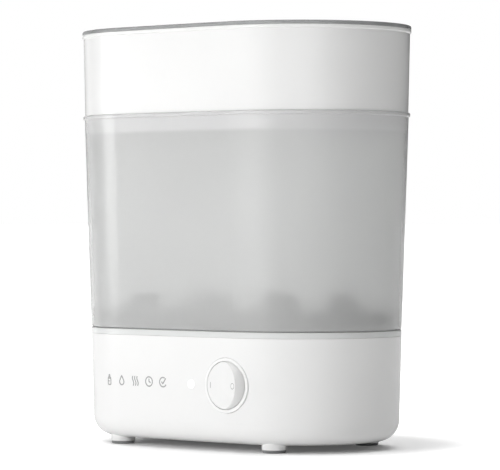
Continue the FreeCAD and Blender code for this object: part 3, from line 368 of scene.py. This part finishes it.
def cast_metal(name, colour, roughness=0.45):
    """Cast or plated metal: dull spots and a pitted skin."""
    made = Finish(name, colour, roughness, Metallic=1.0)
    made.tint(made.noise(120, 5), shade(colour, 0.72), 0.4, 0.8)
    made.smudge(made.noise(500, 3, seed=1.5), 0.12)
    made.emboss(made.noise(900, 3, seed=2.5), 0.4, 0.08)
    return made.material


def heated_steel(name, colour):
    """Sheathed element tube: dark steel with straw and blue heat tints."""
    made = Finish(name, colour, 0.38, Metallic=1.0)
    made.tint(made.noise(45, 3), (0.42, 0.30, 0.16), 0.5, 0.75)
    made.tint(made.noise(33, 3, seed=7.0), (0.16, 0.17, 0.26), 0.55, 0.8)
    made.smudge(made.noise(400, 3, seed=4.0), 0.12)
    made.emboss(made.noise(1300, 2, seed=5.0), 0.3, 0.04)
    return made.material


def laminate(name, colour):
    """Circuit board: solder mask over woven glass, with copper areas just showing."""
    made = Finish(name, colour, 0.34)
    weave = made.noise(1900, 1, (1, 0.2, 1), 1.0)
    made.tint(made.noise(190, 0, seed=2.0), shade(colour, 1.6), 0.52, 0.54)
    made.smudge(made.noise(90, 3), 0.08)
    made.emboss(weave, 0.25, 0.03)
    return made.material


def insulation(name, colour):
    """Extruded wire covering, a little uneven along its length."""
    made = Finish(name, colour, 0.42)
    made.tint(made.noise(140, 3), shade(colour, 0.8))
    made.smudge(made.noise(300, 2, seed=2.0), 0.1)
    made.emboss(made.noise(1100, 2, seed=1.0), 0.25, 0.04)
    return made.material


def lit_lens(name):
    """Milky window with the lamp on behind it."""
    made = Finish(name, (0.96, 0.97, 0.96), 0.2, Emission_Color=(1, 1, 1, 1), Emission_Strength=0.35)
    made.tint(made.noise(300, 2), (0.9, 0.92, 0.9))
    made.smudge(made.noise(200, 2, seed=1.0), 0.06)
    made.emboss(made.noise(900, 2, seed=3.0), 0.1, 0.03)
    return made.material


def printed_ink(name, colour):
    """Pad-printed ink with a faint mottle."""
    made = Finish(name, colour, 0.4)
    made.tint(made.noise(900, 3), shade(colour, 1.2))
    made.smudge(made.noise(700, 2, seed=1.0), 0.1)
    made.emboss(made.noise(2400, 2, seed=3.0), 0.2, 0.01)
    return made.material


def slot_materials():
    """One finished material for each of the record's material slots."""
    # the skirt's foot sets where the sleeve's painted glow starts
    skirt_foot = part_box("top_basket")[0].z
    return {
        "white_shell": gloss_plastic("white_shell", WHITE, 0.2),
        "pale_rim": gloss_plastic("pale_rim", (0.715, 0.725, 0.72), 0.16),
        "frosted_wall": frosted_plastic("frosted_wall", (0.93, 0.935, 0.93), 0.22, 0.66, 800, skirt_foot),
        "smoke_lid": frosted_plastic("smoke_lid", (0.57, 0.58, 0.58), 0.22, 0.55, 500),
        "white_basket": gloss_plastic("white_basket", WHITE, 0.18),
        "grey_rack": satin_plastic("grey_rack", (0.06, 0.062, 0.062)),
        "tray_plastic": satin_plastic("tray_plastic", (0.74, 0.75, 0.75)),
        "rocker_cap": gloss_plastic("rocker_cap", (0.86, 0.86, 0.855), 0.3),
        "bezel_ring": gloss_plastic("bezel_ring", (0.92, 0.92, 0.915), 0.18),
        "lens_milky": lit_lens("lens_milky"),
        "foot_rubber": moulded_rubber("foot_rubber", (0.24, 0.245, 0.245)),
        "silicone": moulded_rubber("silicone", (0.62, 0.63, 0.62), 0.5),
        "gland_rubber": moulded_rubber("gland_rubber", (0.16, 0.165, 0.165)),
        "stainless": brushed_metal("stainless", (0.68, 0.68, 0.67)),
        "sheet_aluminium": brushed_metal("sheet_aluminium", (0.70, 0.71, 0.72)),
        "cast_aluminium": cast_metal("cast_aluminium", (0.56, 0.57, 0.58)),
        "element_sheath": heated_steel("element_sheath", (0.26, 0.25, 0.24)),
        "ceramic_white": satin_plastic("ceramic_white", (0.80, 0.77, 0.70), 0.6),
        "tinned_metal": cast_metal("tinned_metal", (0.66, 0.62, 0.48), 0.3),
        "screw_steel": cast_metal("screw_steel", (0.52, 0.52, 0.54), 0.3),
        "phenolic_black": satin_plastic("phenolic_black", (0.025, 0.025, 0.028), 0.5),
        "board_green": laminate("board_green", (0.02, 0.13, 0.055)),
        "relay_blue": satin_plastic("relay_blue", (0.03, 0.11, 0.30), 0.4),
        "capacitor_sleeve": gloss_plastic("capacitor_sleeve", (0.03, 0.045, 0.09), 0.3),
        "winding_tape": satin_plastic("winding_tape", (0.62, 0.45, 0.08), 0.4),
        "connector_white": satin_plastic("connector_white", (0.76, 0.74, 0.68)),
        "led_clear": gloss_plastic("led_clear", (0.62, 0.80, 0.66), 0.1),
        "lead_brown": insulation("lead_brown", (0.16, 0.065, 0.025)),
        "lead_blue": insulation("lead_blue", (0.03, 0.09, 0.33)),
        "lead_white": insulation("lead_white", (0.72, 0.70, 0.64)),
    }


def dress_cad_nodes(materials):
    """Gives every CAD node the material of its slot in the record."""
    for entry in frame["record"]["subparts"]:
        node = NODES[entry["node"]]
        node.data.materials.clear()
        node.data.materials.append(materials[entry["material_slot"]])


# ---- printed marks ------------------------------------------------------------------------------------
BEFORE_ALL = -0.2           # a Y in front of the whole object
INK_RISE = 0.05 * MM        # a strip of ink stands this far out of its surface, and reaches as far in
MARK_STROKE = 0.62 * MM
BAR_OFFSET, BAR_HALF = 15.6 * MM, 2.4 * MM      # left of the switch's middle, and half the bar's height
RING_OFFSET, RING_RADIUS = 12.0 * MM, 2.3 * MM  # the off ring, on the right
ICON_STROKE = 1.05 * MM
ICON_RADIUS = 3.9                               # of the round pictograms, in mm like all their points
ICON_START, ICON_PITCH = -78.5 * MM, 16.1 * MM
ICON_RISE = 0.4 * MM                            # above the middle of the lit window
WALL_STEP = 0.6                                 # mm between a stroke's points, to follow the curved wall


def surface_of(node):
    """Finds the point and outward normal of a CAD node straight behind (x, z), looking along +Y."""
    mesh = NODES[node].data
    tree = BVHTree.FromPolygons([v.co for v in mesh.vertices], [p.vertices for p in mesh.polygons])

    def find(x, z):
        point, normal, _, _ = tree.ray_cast(Vector((x, BEFORE_ALL, z)), Vector((0, 1, 0)))
        return point, normal
    return find


def arc(cx, cz, radius, start, stop, steps):
    """Points of a circle's arc in the XZ plane, angles in degrees."""
    turn = [math.radians(start + (stop - start) * i / steps) for i in range(steps + 1)]
    return [(cx + radius * math.cos(t), cz + radius * math.sin(t)) for t in turn]


def ribbon(name, strokes, width, surface, body, material):
    """Flat strokes of one width laid on a surface as thin closed strips of ink."""
    made = bmesh.new()
    for stroke in strokes:
        points = [Vector(p) for p in stroke]
        rows = []
        for i, point in enumerate(points):
            before, after = points[max(i - 1, 0)], points[min(i + 1, len(points) - 1)]
            along = (after - before).normalized()
            across = Vector((-along.y, along.x)) * width / 2
            row = []
            for flat in (point - across, point + across):
                found, normal = surface(flat.x, flat.y)
                lift = normal * INK_RISE
                row.append((made.verts.new(found + lift), made.verts.new(found - lift)))
            rows.append(row)
        for (a, b), (c, d) in zip(rows, rows[1:]):
            made.faces.new((a[0], c[0], d[0], b[0]))
            made.faces.new((a[1], b[1], d[1], c[1]))
            made.faces.new((a[0], a[1], c[1], c[0]))
            made.faces.new((b[0], d[0], d[1], b[1]))
        for a, b in (rows[0], rows[-1]):
            made.faces.new((a[0], b[0], b[1], a[1]))
    bmesh.ops.recalc_face_normals(made, faces=made.faces)
    mesh = bpy.data.meshes.new(name)
    made.to_mesh(mesh)
    made.free()
    mesh.materials.append(material)
    piece = bpy.data.objects.new(name, mesh)
    bpy.context.scene.collection.objects.link(piece)
    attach(piece, body)


def switch_marks(ink):
    """The on bar and the off ring, on the rocker's two faces."""
    bezel_low, bezel_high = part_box("switch_bezel")
    low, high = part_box("rocker")
    centre_x, centre_z = (bezel_low.x + bezel_high.x) / 2, (low.z + high.z) / 2
    surface = surface_of("rocker")
    bar = [(centre_x - BAR_OFFSET, centre_z + step * BAR_HALF / 5) for step in range(-5, 6)]
    ring = arc(centre_x + RING_OFFSET, centre_z, RING_RADIUS, 0, 360, 40)
    ribbon("mark_on", [bar], MARK_STROKE, surface, "switch_rocker", ink)
    ribbon("mark_off", [ring], MARK_STROKE, surface, "switch_rocker", ink)


def dense(points):
    """The same polyline with points at most WALL_STEP apart."""
    out = [points[0]]
    for (ax, az), (bx, bz) in zip(points, points[1:]):
        count = max(1, math.ceil(math.hypot(bx - ax, bz - az) / WALL_STEP))
        out += [(ax + (bx - ax) * i / count, az + (bz - az) * i / count) for i in range(1, count + 1)]
    return out


def bottle_icon():
    body = dense([(-2, 0.8), (-2, -3.2)]) + arc(-1, -3.2, 1.0, 180, 270, 6)
    body += arc(1, -3.2, 1.0, 270, 360, 6) + dense([(2, -3.2), (2, 0.8)])
    collar = dense([(-2.4, 1.2), (2.4, 1.2)])
    teat = dense([(-1.5, 1.6), (-0.6, 2.6)]) + arc(0, 3.3, 0.8, 230, -50, 10)
    teat += dense([(0.6, 2.6), (1.5, 1.6)])
    level = dense([(-1.9, -1.2), (0, -1.2)])
    return [body, collar, teat, level]


def drop_icon():
    return [dense([(0, 4.0), (-1.9, 0.6)]) + arc(0, -1.2, 2.6, 140, 400, 26) + dense([(1.9, 0.6), (0, 4.0)])]


def steam_icon():
    rises = [i * 0.4 for i in range(21)]
    return [[(x + 0.75 * math.sin(t * 0.75), t - 4) for t in rises] for x in (-2.6, 0, 2.6)]


def clock_icon():
    return [arc(0, 0, ICON_RADIUS, 0, 360, 40), dense([(0, 2.4), (0, 0), (1.8, -0.9)])]


def tick_icon():
    return [arc(0, 0, ICON_RADIUS, 60, 330, 34), dense([(-1.7, 0.4), (-0.3, -1.4), (3.2, 3.2)])]


def front_icons(ink):
    """A row of plain pictograms along the front, level with the lit window."""
    icons = {"bottle": bottle_icon(), "drop": drop_icon(), "steam": steam_icon(),
             "clock": clock_icon(), "tick": tick_icon()}
    lens_low, lens_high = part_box("indicator_lens")
    z = (lens_low.z + lens_high.z) / 2 + ICON_RISE
    surface = surface_of("base_housing")
    for i, (name, strokes) in enumerate(icons.items()):
        x = ICON_START + ICON_PITCH * i
        placed = [[(x + px * MM, z + pz * MM) for px, pz in stroke] for stroke in strokes]
        ribbon("icon_" + name, placed, ICON_STROKE, surface, "base", ink)


# ---- build --------------------------------------------------------------------------------------------
place_camera()
light_studio()
dress_cad_nodes(slot_materials())
switch_marks(printed_ink("mark_ink", (0.42, 0.42, 0.42)))
front_icons(printed_ink("icon_ink", (0.30, 0.30, 0.30)))
